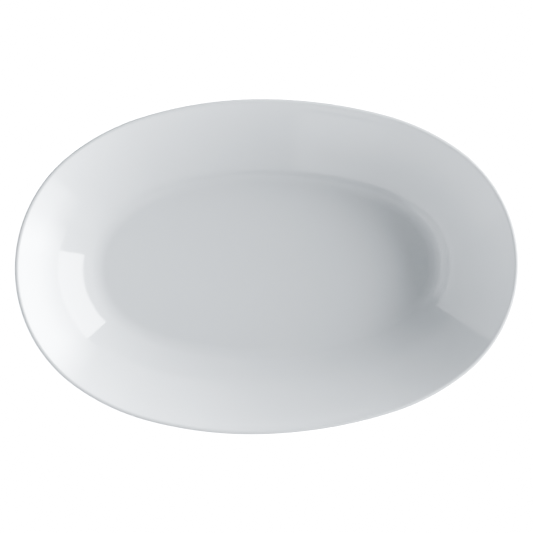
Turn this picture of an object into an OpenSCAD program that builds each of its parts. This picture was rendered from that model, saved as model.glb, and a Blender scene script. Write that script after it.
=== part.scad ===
// Deep oval serving platter in white glazed porcelain.
// It has a flat oval well, a wall that flares at the same section all the way round, a full round lip
// and a low foot ring. The fired clay is drawn first, then the glaze coats that lie on it.
// The plan outline is an oval of tangent arcs, a little fuller at its left end, and every layer is
// one section carried round it.
// Origin: on the table, under the middle of the platter. +X runs along its length, +Z is up.

/* [Platter] */
// Overall length, lip to lip
dish_length = 380; // [370:1:400]
// Overall width, lip to lip
dish_width = 253.2; // [250:0.4:256]
// Overall height from the table to the top of the lip
dish_height = 52.8; // [48:0.4:58]
// How far the widest place lies to the left of the middle
widest_shift = 8; // [6:0.5:10]
// Radius of the outline at its right end
right_tip_r = 106; // [104:0.2:108]
// Radius of the outline at its left end
left_tip_r = 109.6; // [107:0.2:111]

/* [Wall] */
// Thickness of the wall and of the well's floor, with the glaze on both sides
wall_t = 4; // [3:0.1:5]
// Radius of the curve between the well's floor and the wall
cove_r = 22; // [14:1:26]
// Slope of the wall where that curve ends, in degrees
low_slope = 31; // [27:1:34]
// Slope of the wall at the lip, in degrees
lip_slope = 49; // [47:1:58]

/* [Foot ring] */
// Height of the underside above the table, inside the foot ring
recess_h = 3.2; // [2.4:0.1:5]
// Width of the foot ring's clay
foot_w = 5; // [4:0.1:7]
// Distance from the edge of the well's floor in to the foot ring
foot_set_in = 2; // [0:0.5:4]
// Radius of the foot ring's two lower edges
foot_edge_r = 1; // [0.5:0.1:1.3]

/* [Glaze] */
// Thickness of a glaze coat
glaze_t = 0.3; // [0.2:0.05:0.5]
// Height of the clay left bare above the table, where the foot is wiped before firing
bare_h = 1.4; // [1.4:0.1:1.8]

/* [Colours] */
// Fired clay
clay_colour = "#eceae4"; // [#eceae4:White porcelain, #efe7d8:Ivory porcelain, #dcdcda:Grey stoneware]
// Glaze over the clay
glaze_colour = "#e4e8ec"; // [#e4e8ec:Cool white, #f0ece2:Warm white, #b9c8cf:Pale celadon]

/* [Hidden] */

// Steps of the round section outlines, and the fineness of the circles they are carried round
cove_steps = 10;
wall_steps = 12;
lip_steps = 18;
foot_steps = 5;
slab_steps = 4;
round_fn = 240;

// The outline's outward normal, as a unit vector: along the platter, where an end arc meets a
// corner arc, where a corner arc meets a side arc, and across the platter
along = [1, 0];
tip_join = [0.6, 0.8];
side_join = [0.28, 0.96];
across = [0, 1];

// The two ends: whether the quarter is flipped to the left, its length, and its end arc's radius
ENDS = [
    [0, dish_length / 2 + widest_shift, right_tip_r],
    [1, dish_length / 2 - widest_shift, left_tip_r],
];

// Heights of the well's floor and of the wall's curve. The section is drawn with x = 0 at the
// lip's outermost point, and x is negative inwards.
lip_r = wall_t / 2;
floor_z = recess_h + wall_t;
cove_rise = cove_r * (1 - cos(low_slope));
lip_rise = lip_r * (1 - cos(lip_slope));
wall_r = (dish_height - floor_z - cove_rise - lip_rise) / (cos(low_slope) - cos(lip_slope));
lip_centre = [-lip_r, dish_height - lip_r];
wall_end = lip_centre + lip_r * [-sin(lip_slope), cos(lip_slope)];
wall_centre = wall_end + wall_r * [-sin(lip_slope), cos(lip_slope)];
cove_centre = wall_centre - (wall_r - cove_r) * [-sin(low_slope), cos(low_slope)];

// The flat middle: the section runs in to core_x, past the edge of a slab at slab_x.
slab_set_in = 4;
slab_lap = 6;
floor_edge_x = cove_centre.x;
foot_out_x = floor_edge_x - foot_set_in;
foot_in_x = foot_out_x - foot_w;
slab_x = foot_in_x - slab_set_in;
core_x = slab_x - slab_lap;

// The wedge that keeps one arc's share of a full turn reaches past the lip, the table and the rim.
wedge_reach = 400;
wedge_spare = 1;

function reversed(points) = [for (i = [len(points) - 1 : -1 : 0]) points[i]];
function heading(v) = atan2(v.y, v.x);

// Points on an arc, from one heading to another
function arc(centre, r, from, to, steps) =
    [for (i = [0 : steps]) let (a = from + (to - from) * i / steps) centre + r * [cos(a), sin(a)]];

// A quarter of the outline as arcs, from its end to the widest place: each arc's centre, its
// radius, and the normals at its two ends. The radii grow by two steps, which close the quarter
// at its length and at half the platter's width.
function quarter(length, tip_r) =
    let (
        spare_l = length - tip_r,
        spare_w = dish_width / 2 - tip_r,
        det = tip_join.x * (1 - side_join.y) - side_join.x * (1 - tip_join.y),
        corner_step = (spare_l * (1 - side_join.y) - spare_w * side_join.x) / det,
        side_step = (spare_w * tip_join.x - spare_l * (1 - tip_join.y)) / det,
        tip_centre = [spare_l, 0],
        corner_centre = tip_centre - corner_step * tip_join,
        side_centre = corner_centre - side_step * side_join
    )
    [
        [tip_centre, tip_r, along, tip_join],
        [corner_centre, tip_r + corner_step, tip_join, side_join],
        [side_centre, tip_r + corner_step + side_step, side_join, across],
    ];

// The wall and cove at a depth below the inside surface, from the floor's edge out to the lip
function wall_line(depth) = concat(
    arc(cove_centre, cove_r + depth, -90, low_slope - 90, cove_steps),
    arc(wall_centre, wall_r + depth, low_slope - 90, lip_slope - 90, wall_steps)
);

// The lip's round edge, clockwise from one heading to another
function lip_line(r, from, to) = arc(lip_centre, r, from, to, lip_steps);

// Places a quarter at one end and on one side of the platter
module placed(end, side) {
    translate([-widest_shift, 0, 0])
        mirror([end, 0, 0])
            mirror([0, side, 0])
                children();
}

// Carries a section round the outline, as solids of revolution about the arcs' centres
module round_the_outline() {
    for (e = ENDS, side = [0, 1])
        placed(e[0], side)
            for (a = quarter(e[1], e[2]))
                intersection() {
                    translate(a[0])
                        rotate_extrude($fn = round_fn)
                            translate([a[1], 0])
                                children();
                    translate([0, 0, -wedge_spare])
                        linear_extrude(height = dish_height + 2 * wedge_spare)
                            polygon([a[0], a[0] + wedge_reach * a[2], a[0] + wedge_reach * a[3]]);
                }
}

// The flat middle of a layer, between two heights
module middle(low, high) {
    for (e = ENDS, side = [0, 1])
        placed(e[0], side)
            translate([0, 0, low])
                linear_extrude(height = high - low)
                    polygon([
                        [0, 0],
                        for (a = quarter(e[1], e[2]))
                            each arc(a[0], a[1] + slab_x, heading(a[2]), heading(a[3]), slab_steps)
                    ]);
}

// The fired clay: well, wall and lip in one shell of even thickness
module porcelain_body() {
    color(clay_colour) {
        round_the_outline()
            polygon(concat(
                [[core_x, floor_z - glaze_t]],
                wall_line(glaze_t),
                lip_line(lip_r - glaze_t, lip_slope + 90, lip_slope - 90),
                reversed(wall_line(wall_t - glaze_t)),
                [[core_x, recess_h + glaze_t]]
            ));
        middle(recess_h + glaze_t, floor_z - glaze_t);
    }
}

// The clay ring that the platter stands on, with rounded lower edges and a flat bearing face
module foot_ring() {
    color(clay_colour)
        round_the_outline()
            polygon(concat(
                arc([foot_in_x + foot_edge_r, foot_edge_r], foot_edge_r, 180, 270, foot_steps),
                arc([foot_out_x - foot_edge_r, foot_edge_r], foot_edge_r, -90, 0, foot_steps),
                [[foot_out_x, recess_h + glaze_t], [foot_in_x, recess_h + glaze_t]]
            ));
}

// The coat over the well and the wall, which rolls over the lip to its outermost line
module inside_glaze() {
    color(glaze_colour) {
        round_the_outline()
            polygon(concat(
                [[core_x, floor_z]],
                wall_line(0),
                lip_line(lip_r, lip_slope + 90, 0),
                lip_line(lip_r - glaze_t, 0, lip_slope + 90),
                reversed(wall_line(glaze_t)),
                [[core_x, floor_z - glaze_t]]
            ));
        middle(floor_z - glaze_t, floor_z);
    }
}

// The coat on the outside, from the lip's outermost line down on to the foot ring
module outside_glaze() {
    color(glaze_colour)
        round_the_outline()
            polygon(concat(
                lip_line(lip_r, 0, lip_slope - 90),
                reversed(wall_line(wall_t)),
                [
                    [foot_out_x + glaze_t, recess_h],
                    [foot_out_x + glaze_t, bare_h],
                    [foot_out_x, bare_h],
                    [foot_out_x, recess_h + glaze_t],
                ],
                wall_line(wall_t - glaze_t),
                lip_line(lip_r - glaze_t, lip_slope - 90, 0)
            ));
}

// The coat on the underside, inside the foot ring
module base_glaze() {
    color(glaze_colour) {
        round_the_outline()
            polygon([
                [core_x, recess_h],
                [foot_in_x - glaze_t, recess_h],
                [foot_in_x - glaze_t, bare_h],
                [foot_in_x, bare_h],
                [foot_in_x, recess_h + glaze_t],
                [core_x, recess_h + glaze_t],
            ]);
        middle(recess_h, recess_h + glaze_t);
    }
}

porcelain_body();
foot_ring();
inside_glaze();
outside_glaze();
base_glaze();
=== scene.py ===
"""Deep oval serving platter in white glazed porcelain: its pieces, materials, table, light and camera."""

import math

import bpy
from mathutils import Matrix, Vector


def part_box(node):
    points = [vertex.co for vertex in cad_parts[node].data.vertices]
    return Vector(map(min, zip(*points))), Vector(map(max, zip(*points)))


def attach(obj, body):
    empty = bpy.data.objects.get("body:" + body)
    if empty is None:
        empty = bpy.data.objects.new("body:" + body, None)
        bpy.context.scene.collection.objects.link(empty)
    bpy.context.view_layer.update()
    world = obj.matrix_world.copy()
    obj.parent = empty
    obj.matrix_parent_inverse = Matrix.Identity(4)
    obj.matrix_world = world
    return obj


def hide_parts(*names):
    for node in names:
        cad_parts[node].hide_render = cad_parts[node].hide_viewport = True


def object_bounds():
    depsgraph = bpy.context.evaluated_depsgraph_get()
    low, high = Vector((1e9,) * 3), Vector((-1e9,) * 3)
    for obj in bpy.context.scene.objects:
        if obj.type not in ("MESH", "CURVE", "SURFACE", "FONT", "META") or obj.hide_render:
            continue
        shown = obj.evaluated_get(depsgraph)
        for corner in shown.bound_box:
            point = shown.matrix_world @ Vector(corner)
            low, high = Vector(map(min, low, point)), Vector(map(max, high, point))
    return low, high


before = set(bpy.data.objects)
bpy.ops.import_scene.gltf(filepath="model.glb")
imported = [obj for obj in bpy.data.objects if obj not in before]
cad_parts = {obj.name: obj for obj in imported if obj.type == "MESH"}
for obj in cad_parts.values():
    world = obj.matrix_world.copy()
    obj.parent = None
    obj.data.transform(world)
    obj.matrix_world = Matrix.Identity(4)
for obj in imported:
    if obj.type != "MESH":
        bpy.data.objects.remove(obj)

bl_info = {
    "name": "Deep Oval Porcelain Platter",
    "version": (1, 0, 0),
    "blender": (4, 5, 0),
    "location": "View3D > Sidebar > Platter",
    "description": "Models the clay, glaze and foot of a deep oval platter, and lights it on a pale table",
    "category": "Add Mesh",
}

CAD_LOW, CAD_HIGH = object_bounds()
SIZE = CAD_HIGH - CAD_LOW
FOOT_LOW, FOOT_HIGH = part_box("foot_ring")
BASE_LOW, BASE_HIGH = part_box("base_glaze")
OUTSIDE_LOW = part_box("outside_glaze")[0]
CLAY_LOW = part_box("porcelain_body")[0]

MM = 0.001
BODY = "root"

# The outline's outward normal where an end arc meets a corner arc, and a corner arc a side arc.
TIP_JOIN = Vector((0.6, 0.8))
SIDE_JOIN = Vector((0.28, 0.96))

# How far inside the foot ring the spun part of a coat ends and its flat middle begins.
CORE_SET_IN = 12 * MM
# Radius of the foot ring's two lower edges, and of the glaze pooled in the corner above the foot.
FOOT_EDGE_R = 1 * MM
FOOT_EDGE_STEPS = 4
POOL_R = 1 * MM

# Points closer than this are one point: along a drawn section, and at the joins of the spun arcs.
DRAWN_GAP = 0.01 * MM
SPUN_GAP = 0.02 * MM
# Faces that meet at less than this angle are shaded as one surface.
SMOOTH_ANGLE = math.radians(50)

# The side of the table in metres, the camera's turn about its line of sight, and its sensor in mm.
TABLE_SIZE = 8
CAMERA_TURN = math.radians(-1.2)
SENSOR_WIDTH = 36


# ---------------------------------------------------------------- settings

class PlatterSettings(bpy.types.PropertyGroup):
    """Sizes and colours of the platter"""

    widest_shift: bpy.props.FloatProperty(
        name="Widest place", unit="LENGTH", default=8 * MM,
        description="How far the widest place lies to the left of the middle")
    right_tip_r: bpy.props.FloatProperty(
        name="Right end radius", unit="LENGTH", default=106 * MM,
        description="Radius of the outline at its right end")
    left_tip_r: bpy.props.FloatProperty(
        name="Left end radius", unit="LENGTH", default=109.6 * MM,
        description="Radius of the outline at its left end")
    wall_t: bpy.props.FloatProperty(
        name="Wall", unit="LENGTH", default=4 * MM,
        description="Thickness of the wall with the glaze on both sides")
    cove_r: bpy.props.FloatProperty(
        name="Cove", unit="LENGTH", default=22 * MM,
        description="Radius of the curve between the well's floor and the wall")
    low_slope: bpy.props.FloatProperty(
        name="Low slope", subtype="ANGLE", default=math.radians(31),
        description="Slope of the wall where the cove ends")
    lip_slope: bpy.props.FloatProperty(
        name="Lip slope", subtype="ANGLE", default=math.radians(49),
        description="Slope of the wall at the lip")
    glaze_t: bpy.props.FloatProperty(
        name="Glaze coat", unit="LENGTH", default=CLAY_LOW.x - CAD_LOW.x,
        description="Thickness of a glaze coat")
    pitch: bpy.props.FloatProperty(
        name="Pitch", unit="LENGTH", default=3 * MM,
        description="Distance between the sections that the outline is spun from")
    glaze_colour: bpy.props.FloatVectorProperty(
        name="Glazed porcelain", subtype="COLOR", size=3, default=(0.80, 0.82, 0.83),
        description="Colour of the glazed porcelain")
    clay_colour: bpy.props.FloatVectorProperty(
        name="Bare clay", subtype="COLOR", size=3, default=(0.80, 0.775, 0.73),
        description="Colour of the fired clay where it is bare")


class StageSettings(bpy.types.PropertyGroup):
    """The table, the lights and the camera"""

    table_colour: bpy.props.FloatVectorProperty(
        name="Table", subtype="COLOR", size=3, default=(0.9, 0.9, 0.9),
        description="Colour of the pale table")
    table_gain: bpy.props.FloatProperty(
        name="Table exposure", default=12,
        description="How much brighter the table looks than it is, as a bleached background")
    backdrop: bpy.props.FloatProperty(
        name="Backdrop", default=1.4,
        description="Brightness of what shows behind the table")
    light_colour: bpy.props.FloatVectorProperty(
        name="Light", subtype="COLOR", size=3, default=(0.96, 1.0, 1.055),
        description="Colour of the light in the room")
    camera_height: bpy.props.FloatProperty(
        name="Camera height", unit="LENGTH", default=1.3,
        description="Height of the camera above the table")
    framing: bpy.props.FloatProperty(
        name="Framing", unit="LENGTH", default=0.401,
        description="Width of the view in the plane of the lip")


# ---------------------------------------------------------------- the section and the outline

class Section:
    """The platter's section: x runs in from the lip's outermost point and is negative, z is up."""

    def __init__(self, settings):
        self.s = settings
        self.lip_r = settings.wall_t / 2
        low, lip = settings.low_slope, settings.lip_slope
        self.recess_z = BASE_HIGH.z - settings.glaze_t
        self.floor_z = self.recess_z + settings.wall_t
        cove_rise = settings.cove_r * (1 - math.cos(low))
        lip_rise = self.lip_r * (1 - math.cos(lip))
        rise = CAD_HIGH.z - self.floor_z - cove_rise - lip_rise
        self.wall_r = rise / (math.cos(low) - math.cos(lip))
        self.lip_centre = Vector((-self.lip_r, CAD_HIGH.z - self.lip_r))
        lip_normal = Vector((-math.sin(lip), math.cos(lip)))
        low_normal = Vector((-math.sin(low), math.cos(low)))
        self.wall_centre = self.lip_centre + (self.lip_r + self.wall_r) * lip_normal
        self.cove_centre = self.wall_centre - (self.wall_r - settings.cove_r) * low_normal
        self.foot_out_x = FOOT_HIGH.x - CAD_HIGH.x
        self.foot_in_x = BASE_HIGH.x - CAD_HIGH.x
        self.core_x = self.foot_in_x - CORE_SET_IN

    def wall(self, depth, cove_steps=8, wall_steps=14):
        """The cove and the wall at a depth below the inside surface, from the floor out to the lip."""
        low, lip = self.s.low_slope, self.s.lip_slope
        down = -math.pi / 2
        cove = arc(self.cove_centre, self.s.cove_r + depth, down, down + low, cove_steps)
        return cove + arc(self.wall_centre, self.wall_r + depth, down + low, down + lip, wall_steps)[1:]

    def lip(self, radius, steps=16):
        """The lip's round edge, from the inside over the top to the outside."""
        start = self.s.lip_slope + math.pi / 2
        return arc(self.lip_centre, radius, start, start - math.pi, steps)[1:-1]


def arc(centre, radius, start, end, steps):
    """Points on an arc of the section, from one heading to another."""
    headings = [start + (end - start) * i / steps for i in range(steps + 1)]
    return [centre + radius * Vector((math.cos(h), math.sin(h))) for h in headings]


def quarter(length, tip_r, half_width):
    """A quarter of the outline as (centre x, centre y, radius, start heading, end heading)."""
    spare_l, spare_w = length - tip_r, half_width - tip_r
    det = TIP_JOIN.x * (1 - SIDE_JOIN.y) - SIDE_JOIN.x * (1 - TIP_JOIN.y)
    corner_step = (spare_l * (1 - SIDE_JOIN.y) - spare_w * SIDE_JOIN.x) / det
    side_step = (spare_w * TIP_JOIN.x - spare_l * (1 - TIP_JOIN.y)) / det
    tip = Vector((spare_l, 0))
    corner = tip - corner_step * TIP_JOIN
    side = corner - side_step * SIDE_JOIN
    tip_turn = math.atan2(TIP_JOIN.y, TIP_JOIN.x)
    side_turn = math.atan2(SIDE_JOIN.y, SIDE_JOIN.x)
    return [
        (tip.x, tip.y, tip_r, 0, tip_turn),
        (corner.x, corner.y, tip_r + corner_step, tip_turn, side_turn),
        (side.x, side.y, tip_r + corner_step + side_step, side_turn, math.pi / 2),
    ]


def outline(settings):
    """The whole outline as arcs, anticlockwise from the right end."""
    half_width = SIZE.y / 2
    shift = settings.widest_shift
    widest = (CAD_LOW.x + CAD_HIGH.x) / 2 - shift
    right = quarter(SIZE.x / 2 + shift, settings.right_tip_r, half_width)
    left = quarter(SIZE.x / 2 - shift, settings.left_tip_r, half_width)
    upper = [(widest + x, y, r, a, b) for x, y, r, a, b in right]
    upper += [(widest - x, y, r, math.pi - b, math.pi - a) for x, y, r, a, b in reversed(left)]
    lower = [(x, -y, r, -b, -a) for x, y, r, a, b in reversed(upper)]
    return upper + lower


# ---------------------------------------------------------------- modelling

def deselect():
    """Leaves edit mode and selects nothing."""
    if bpy.context.object and bpy.context.object.mode != "OBJECT":
        bpy.ops.object.mode_set(mode="OBJECT")
    bpy.ops.object.select_all(action="DESELECT")


def draw_section(name, points, closed):
    """Draws a section at the right end of the platter as a chain of edges, and stays in edit mode."""
    deselect()
    placed = [Vector((CAD_HIGH.x + p.x, 0, p.y)) for p in points]
    bpy.ops.mesh.primitive_plane_add(size=MM, location=placed[0])
    piece = bpy.context.object
    piece.name = piece.data.name = name
    bpy.ops.object.transform_apply(location=True)
    bpy.ops.object.mode_set(mode="EDIT")
    bpy.ops.mesh.select_all(action="SELECT")
    bpy.ops.mesh.merge(type="CENTER")
    for here, there in zip(placed, placed[1:]):
        bpy.ops.mesh.extrude_region_move(TRANSFORM_OT_translate={"value": there - here})
    if closed:
        bpy.ops.mesh.extrude_region_move(TRANSFORM_OT_translate={"value": placed[0] - placed[-1]})
    bpy.ops.mesh.select_all(action="SELECT")
    if closed:
        bpy.ops.mesh.remove_doubles(threshold=DRAWN_GAP)
        bpy.ops.mesh.select_all(action="SELECT")
    return piece


def spin_round(settings):
    """Spins the selected section round the outline, arc by arc, and closes the join."""
    for x, y, radius, start, end in outline(settings):
        steps = round(radius * (end - start) / settings.pitch)
        # A positive angle spins clockwise.
        bpy.ops.mesh.spin(steps=steps, angle=start - end, center=(x, y, 0), axis=(0, 0, 1))
    bpy.ops.mesh.select_all(action="SELECT")
    bpy.ops.mesh.remove_doubles(threshold=SPUN_GAP)


def fill_middle(piece, heights):
    """Closes the open middle of a coat at each height with a flat grid of faces."""
    for height in heights:
        bpy.ops.mesh.select_all(action="SELECT")
        bpy.ops.mesh.region_to_loop()
        bpy.ops.object.mode_set(mode="OBJECT")
        points = piece.data.vertices
        level = [abs(point.co.z - height) < DRAWN_GAP for point in points]
        for point in points:
            point.select = point.select and level[point.index]
        for edge in piece.data.edges:
            edge.select = edge.select and all(level[i] for i in edge.vertices)
        bpy.ops.object.mode_set(mode="EDIT")
        bpy.ops.mesh.fill_grid()


def finish_piece(piece, material, node_names):
    """Turns the faces outwards, smooths the piece, gives it its material and sets it in the frame."""
    bpy.ops.mesh.select_all(action="SELECT")
    bpy.ops.mesh.normals_make_consistent(inside=False)
    bpy.ops.object.mode_set(mode="OBJECT")
    bpy.ops.object.shade_smooth_by_angle(angle=SMOOTH_ANGLE)
    piece.data.materials.append(material)
    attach(piece, BODY)
    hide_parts(*node_names)
    deselect()


# ---------------------------------------------------------------- shader arithmetic

class Signal:
    """A number carried by a shader socket, with ordinary arithmetic."""

    def __init__(self, nodes, socket):
        self.nodes, self.socket = nodes, socket

    def math(self, operation, *values, clamp=False):
        """One step of arithmetic on these values."""
        settings = {"operation": operation, "use_clamp": clamp}
        return self.nodes.number("ShaderNodeMath", settings, *values)

    def __add__(self, other):
        return self.math("ADD", self, other)

    def __sub__(self, other):
        return self.math("SUBTRACT", self, other)

    def __rsub__(self, other):
        return self.math("SUBTRACT", other, self)

    def __mul__(self, other):
        return self.math("MULTIPLY", self, other)

    __radd__ = __add__
    __rmul__ = __mul__

    def over(self, edge, width):
        """0 below edge, 1 above edge + width, and a ramp between."""
        return self.math("MULTIPLY", self - edge, 1 / width, clamp=True)

    def between(self, low, high, soft):
        """1 from low to high and 0 outside, with soft edges of this width."""
        return self.over(low - soft / 2, soft) * (1 - self.over(high - soft / 2, soft))


class Nodes:
    """Adds nodes to the node tree of a material or of the world."""

    def __init__(self, tree):
        self.tree = tree

    def node(self, kind, settings=None, *values, **named):
        """Adds a node: its settings first, then the values or links of its sockets."""
        node = self.tree.nodes.new(kind)
        for key, value in (settings or {}).items():
            setattr(node, key, value)
        for key, value in [*enumerate(values), *named.items()]:
            if isinstance(key, str):
                key = key.replace("_", " ")
            self.feed(node.inputs[key], value)
        return node

    def number(self, kind, settings=None, *values, output=0, **named):
        """Adds a node and gives one of its outputs as a number."""
        return Signal(self, self.node(kind, settings, *values, **named).outputs[output])

    def feed(self, socket, value):
        """Sets a socket's value, or links it."""
        value = value.socket if isinstance(value, Signal) else value
        if isinstance(value, bpy.types.NodeSocket):
            self.tree.links.new(value, socket)
        else:
            socket.default_value = value

    def mix(self, share, first, second):
        """A colour between two colours."""
        node = self.node("ShaderNodeMix", {"data_type": "RGBA"})
        for name, value in (("Factor_Float", share), ("A_Color", first), ("B_Color", second)):
            socket = next(s for s in node.inputs if s.identifier == name)
            self.feed(socket, value)
        return next(s for s in node.outputs if s.identifier == "Result_Color")


class Finish(Nodes):
    """A material under construction."""

    def __init__(self, name):
        self.material = bpy.data.materials.new(name)
        self.material.use_nodes = True
        super().__init__(self.material.node_tree)
        self.shader = self.tree.nodes["Principled BSDF"]
        self.place = self.node("ShaderNodeTexCoord").outputs["Object"]

    def noise(self, size, detail=2.0, roughness=0.5):
        """Noise from 0 to 1 with features of about this size, in metres."""
        return self.number("ShaderNodeTexNoise", None, Vector=self.place, Scale=1 / size,
                           Detail=detail, Roughness=roughness)

    def specks(self, spacing, radius, share):
        """1 inside small round specks, of which only a share of the cells has one."""
        cells = self.node("ShaderNodeTexVoronoi", None, Vector=self.place, Scale=1 / spacing)
        reach = radius / spacing
        far = Signal(self, cells.outputs["Distance"]).over(0.6 * reach, 0.8 * reach)
        pick = self.number("ShaderNodeSeparateColor", None, cells.outputs["Color"])
        return (1 - far) * pick.over(1 - share, 0.001)

    def bump(self, height, distance, normal=None):
        """A normal bent by a height, with this distance between height 0 and 1, in metres."""
        node = self.node("ShaderNodeBump", None, Height=height, Distance=distance, Strength=1.0)
        if normal:
            self.feed(node.inputs["Normal"], normal)
        return node.outputs["Normal"]

    def surface(self, **values):
        """Feeds the shader's own sockets."""
        for key, value in values.items():
            self.feed(self.shader.inputs[key.replace("_", " ")], value)
        return self.material


def shade(colour, factor):
    """A colour made lighter or darker, with full alpha."""
    return [channel * factor for channel in colour] + [1.0]


IRON_COLOUR = (0.42, 0.36, 0.30)
GLAZE_IOR = 1.7


def white_glaze(colour):
    """Clear glossy glaze over white clay: faint clouding, a few iron specks, and slight waves."""
    f = Finish("white_glaze")
    clouds = f.noise(size=110 * MM, detail=3.0) * 0.7 + f.noise(size=20 * MM) * 0.3
    cloudy = f.mix(clouds, shade(colour, 0.985), shade(colour, 1.015))
    iron = f.specks(spacing=26 * MM, radius=0.35 * MM, share=0.07)
    coloured = f.mix(iron * 0.55, cloudy, shade(IRON_COLOUR, 1))
    wave = f.bump(f.noise(size=35 * MM, detail=1.0), distance=0.06 * MM)
    skin = f.bump(f.noise(size=3.5 * MM), 0.004 * MM, wave)
    pits = f.specks(spacing=17 * MM, radius=0.3 * MM, share=0.08)
    return f.surface(
        Base_Color=coloured,
        Roughness=f.noise(size=50 * MM) * 0.03 + 0.035,
        Normal=f.bump(1 - pits, 0.04 * MM, skin),
        IOR=GLAZE_IOR,
    )


def bare_clay(colour):
    """Fired clay without glaze: fine grain, a little warm staining."""
    f = Finish("bare_clay")
    stain = f.noise(size=12 * MM, detail=4.0, roughness=0.6)
    coloured = f.mix(stain, shade(colour, 0.9), shade(colour, 1.05))
    grain = f.bump(f.noise(size=0.6 * MM, detail=3.0, roughness=0.7), distance=0.06 * MM)
    return f.surface(Base_Color=coloured, Roughness=f.noise(size=4 * MM) * 0.2 + 0.55, Normal=grain)


def pale_table(colour, gain):
    """The pale matt table top, which looks overexposed but throws back no more light than a white one."""
    f = Finish("pale_table")
    tone = f.mix(f.noise(size=400 * MM), shade(colour, 0.99), shade(colour, 1.01))
    # Only the camera's own view of the table is brightened.
    seen = f.number("ShaderNodeLightPath")
    bright = f.node("ShaderNodeVectorMath", {"operation": "SCALE"}, tone, Scale=1 + (gain - 1) * seen)
    matt = f.node("ShaderNodeBsdfDiffuse", None, bright.outputs[0])
    f.feed(f.tree.nodes["Material Output"].inputs["Surface"], matt.outputs[0])
    return f.material


# ---------------------------------------------------------------- pieces

class PLATTER_OT_clay_shell(bpy.types.Operator):
    """Model the fired clay of the well, wall and lip"""

    bl_idname = "platter.clay_shell"
    bl_label = "Clay Shell"

    def execute(self, context):
        settings = context.scene.platter
        section = Section(settings)
        glaze, wall = settings.glaze_t, settings.wall_t
        points = [Vector((section.core_x, section.floor_z - glaze))]
        points += section.wall(glaze) + section.lip(section.lip_r - glaze)
        points += reversed(section.wall(wall - glaze))
        points += [Vector((section.core_x, section.recess_z + glaze))]
        piece = draw_section("clay_shell", points, closed=False)
        spin_round(settings)
        fill_middle(piece, (section.floor_z - glaze, section.recess_z + glaze))
        finish_piece(piece, bare_clay(settings.clay_colour), ["porcelain_body"])
        return {"FINISHED"}


class PLATTER_OT_glaze_coat(bpy.types.Operator):
    """Model the glaze over the well, the wall, the lip and the outside, down to the bare foot"""

    bl_idname = "platter.glaze_coat"
    bl_label = "Glaze Coat"

    def execute(self, context):
        settings = context.scene.platter
        section = Section(settings)
        glaze, wall = settings.glaze_t, settings.wall_t
        foot_x, under_z, bare_z = section.foot_out_x, section.recess_z, OUTSIDE_LOW.z
        points = [Vector((section.core_x, section.floor_z))]
        points += section.wall(0) + section.lip(section.lip_r)
        points += reversed(section.wall(wall))
        points += fillet(foot_x + glaze, under_z, 1)
        points += [Vector((foot_x + glaze, bare_z)), Vector((foot_x, bare_z))]
        points += [Vector((foot_x, under_z + glaze))]
        points += section.wall(wall - glaze) + list(reversed(section.lip(section.lip_r - glaze)))
        points += reversed(section.wall(glaze))
        points += [Vector((section.core_x, section.floor_z - glaze))]
        piece = draw_section("glaze_coat", points, closed=False)
        spin_round(settings)
        fill_middle(piece, (section.floor_z, section.floor_z - glaze))
        finish_piece(piece, white_glaze(settings.glaze_colour),
                     ["inside_glaze", "outside_glaze"])
        return {"FINISHED"}


class PLATTER_OT_base_coat(bpy.types.Operator):
    """Model the glaze on the underside, inside the foot ring"""

    bl_idname = "platter.base_coat"
    bl_label = "Base Coat"

    def execute(self, context):
        settings = context.scene.platter
        section = Section(settings)
        glaze = settings.glaze_t
        foot_x, under_z, bare_z = section.foot_in_x, section.recess_z, BASE_LOW.z
        points = [Vector((section.core_x, under_z))]
        points += reversed(fillet(foot_x - glaze, under_z, -1))
        points += [Vector((foot_x - glaze, bare_z)), Vector((foot_x, bare_z))]
        points += [Vector((foot_x, under_z + glaze)), Vector((section.core_x, under_z + glaze))]
        piece = draw_section("base_coat", points, closed=False)
        spin_round(settings)
        fill_middle(piece, (under_z, under_z + glaze))
        finish_piece(piece, bpy.data.materials["white_glaze"], ["base_glaze"])
        return {"FINISHED"}


class PLATTER_OT_foot_ring(bpy.types.Operator):
    """Model the bare clay ring that the platter stands on"""

    bl_idname = "platter.foot_ring"
    bl_label = "Foot Ring"

    def execute(self, context):
        settings = context.scene.platter
        section = Section(settings)
        low, top = FOOT_LOW.z + FOOT_EDGE_R, FOOT_HIGH.z
        inner, outer = section.foot_in_x, section.foot_out_x
        inner_edge, outer_edge = Vector((inner + FOOT_EDGE_R, low)), Vector((outer - FOOT_EDGE_R, low))
        points = arc(inner_edge, FOOT_EDGE_R, math.pi, 1.5 * math.pi, FOOT_EDGE_STEPS)
        points += arc(outer_edge, FOOT_EDGE_R, -0.5 * math.pi, 0, FOOT_EDGE_STEPS)
        points += [Vector((outer, top)), Vector((inner, top))]
        piece = draw_section("foot_ring_clay", points, closed=True)
        spin_round(settings)
        finish_piece(piece, bpy.data.materials["bare_clay"], ["foot_ring"])
        return {"FINISHED"}


def fillet(x, z, side, steps=4):
    """The glaze pooled in the corner between the underside at z and the foot's side at x."""
    centre = Vector((x + side * POOL_R, z - POOL_R))
    return arc(centre, POOL_R, math.pi / 2, math.pi / 2 + side * math.pi / 2, steps)


# ---------------------------------------------------------------- stage

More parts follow.
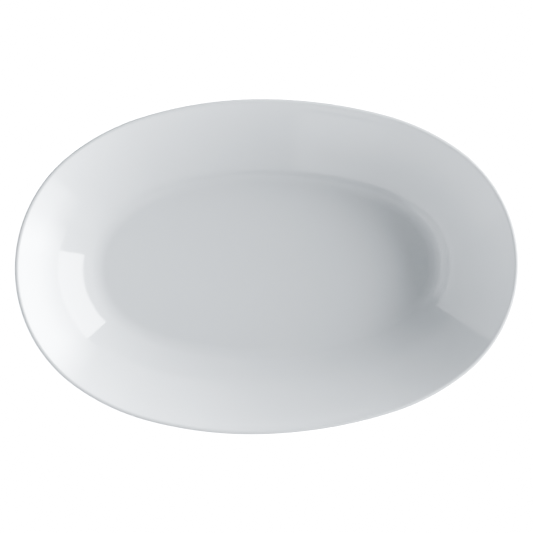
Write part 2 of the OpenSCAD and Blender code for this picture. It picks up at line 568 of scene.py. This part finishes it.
# The room as patches of sky: name, from and to azimuth, from and to elevation, softness round and
# up, all in degrees, and brightness. Azimuth runs anticlockwise from the platter's right end. It
# starts at the seam, this far clockwise of that end, and comes back to it at 315. Patches that meet
# at the seam run one degree past it, so that no soft edge shows there.
ROOM_SEAM = 45
ROOM = (
    ("window", -12, 44.5, 19.5, 30.5, 1, 1, 15.6),
    ("window wall", -20, 46, -5, 19.5, 16, 1, 10),
    ("window sill", -25, 46, -5, 13.5, 24, 9, 9),
    ("front right", -44, -12, -5, 14, 8, 10, 6),
    ("back right", 50, 85, -5, 21, 6, 1.5, 1),
    ("back wall", 85, 142.5, -5, 21.5, 2, 1, 0.3),
    ("left wall", 142.5, 265, -5, 30.5, 1, 1, 1.4),
    ("left wall front", 200, 265, -5, 15, 8, 8, 0.4),
    ("left slope", 150, 240, 30.5, 42, 10, 6, 1.3),
    ("front wall", 265, 316, -5, 30.5, 1, 1, 0.7),
    ("front wall end", -46, -30, 15, 30.5, 1, 1, 0.8),
    ("ceiling", 135, 316, 42, 60, 6, 6, 0.5),
    ("zenith", -46, 316, 60, 95, 1, 4, 0.3),
)


class PLATTER_OT_stage(bpy.types.Operator):
    """Set up the table, the lights and the camera"""

    bl_idname = "platter.stage"
    bl_label = "Stage"

    def execute(self, context):
        stage = context.scene.platter_stage
        deselect()
        bpy.ops.mesh.primitive_plane_add(size=TABLE_SIZE, location=(0, 0, 0))
        table = context.object
        table.name = "table"
        table.data.materials.append(pale_table(stage.table_colour, stage.table_gain))
        add_camera(stage)
        add_room(stage)
        return {"FINISHED"}


def add_camera(stage):
    """The camera looks straight down on the middle of the platter."""
    bpy.ops.object.camera_add(location=(0, 0, stage.camera_height))
    camera = bpy.context.object
    camera.rotation_euler = (0, 0, CAMERA_TURN)
    camera.data.sensor_width = SENSOR_WIDTH
    lip_distance = stage.camera_height - SIZE.z
    camera.data.lens = SENSOR_WIDTH * lip_distance / stage.framing
    bpy.context.scene.camera = camera


def add_room(stage):
    """The room that lights the platter: its walls and window by direction, under a dim ceiling."""
    world = bpy.data.worlds.new("room")
    world.use_nodes = True
    n = Nodes(world.node_tree)
    way = n.node("ShaderNodeSeparateXYZ", None, n.node("ShaderNodeTexCoord").outputs["Generated"])
    x, y, z = way.outputs
    elevation = n.number("ShaderNodeMath", {"operation": "ARCSINE"}, z)
    around = n.number("ShaderNodeMath", {"operation": "ARCTAN2"}, y, x) + math.radians(ROOM_SEAM)
    azimuth = around.math("WRAP", around, math.tau, 0)
    room = 0.0
    for _name, start, end, low, high, soft_round, soft_up, radiance in ROOM:
        edges = (start + ROOM_SEAM, end + ROOM_SEAM, soft_round)
        turn = azimuth.between(*(math.radians(angle) for angle in edges))
        rise = elevation.between(*(math.radians(angle) for angle in (low, high, soft_up)))
        room = turn * rise * radiance + room
    # The camera itself sees a plain backdrop where the room would be.
    seen = n.number("ShaderNodeLightPath")
    strength = room * (1 - seen) + seen * stage.backdrop
    background = world.node_tree.nodes["Background"]
    n.feed(background.inputs["Color"], [*stage.light_colour, 1.0])
    n.feed(background.inputs["Strength"], strength)
    bpy.context.scene.world = world


# ---------------------------------------------------------------- panel and registration

class PLATTER_PT_panel(bpy.types.Panel):
    """Lists the platter's operators and settings"""

    bl_label = "Porcelain Platter"
    bl_idname = "PLATTER_PT_panel"
    bl_space_type = "VIEW_3D"
    bl_region_type = "UI"
    bl_category = "Platter"

    def draw(self, context):
        for group in (context.scene.platter, context.scene.platter_stage):
            for name in group.bl_rna.properties.keys():
                if name not in ("rna_type", "name"):
                    self.layout.prop(group, name)
        for operator in OPERATORS:
            self.layout.operator(operator.bl_idname)


OPERATORS = (
    PLATTER_OT_clay_shell,
    PLATTER_OT_glaze_coat,
    PLATTER_OT_base_coat,
    PLATTER_OT_foot_ring,
    PLATTER_OT_stage,
)
CLASSES = (PlatterSettings, StageSettings, *OPERATORS, PLATTER_PT_panel)


def register():
    for cls in CLASSES:
        bpy.utils.register_class(cls)
    bpy.types.Scene.platter = bpy.props.PointerProperty(type=PlatterSettings)
    bpy.types.Scene.platter_stage = bpy.props.PointerProperty(type=StageSettings)


def unregister():
    del bpy.types.Scene.platter_stage
    del bpy.types.Scene.platter
    for cls in reversed(CLASSES):
        bpy.utils.unregister_class(cls)


def main():
    """Builds every piece and the stage."""
    register()
    bpy.context.scene.view_settings.view_transform = "AgX"
    bpy.context.scene.view_settings.look = "AgX - High Contrast"
    bpy.ops.platter.clay_shell()
    bpy.ops.platter.glaze_coat()
    bpy.ops.platter.base_coat()
    bpy.ops.platter.foot_ring()
    bpy.ops.platter.stage()


if __name__ == "__main__":
    main()
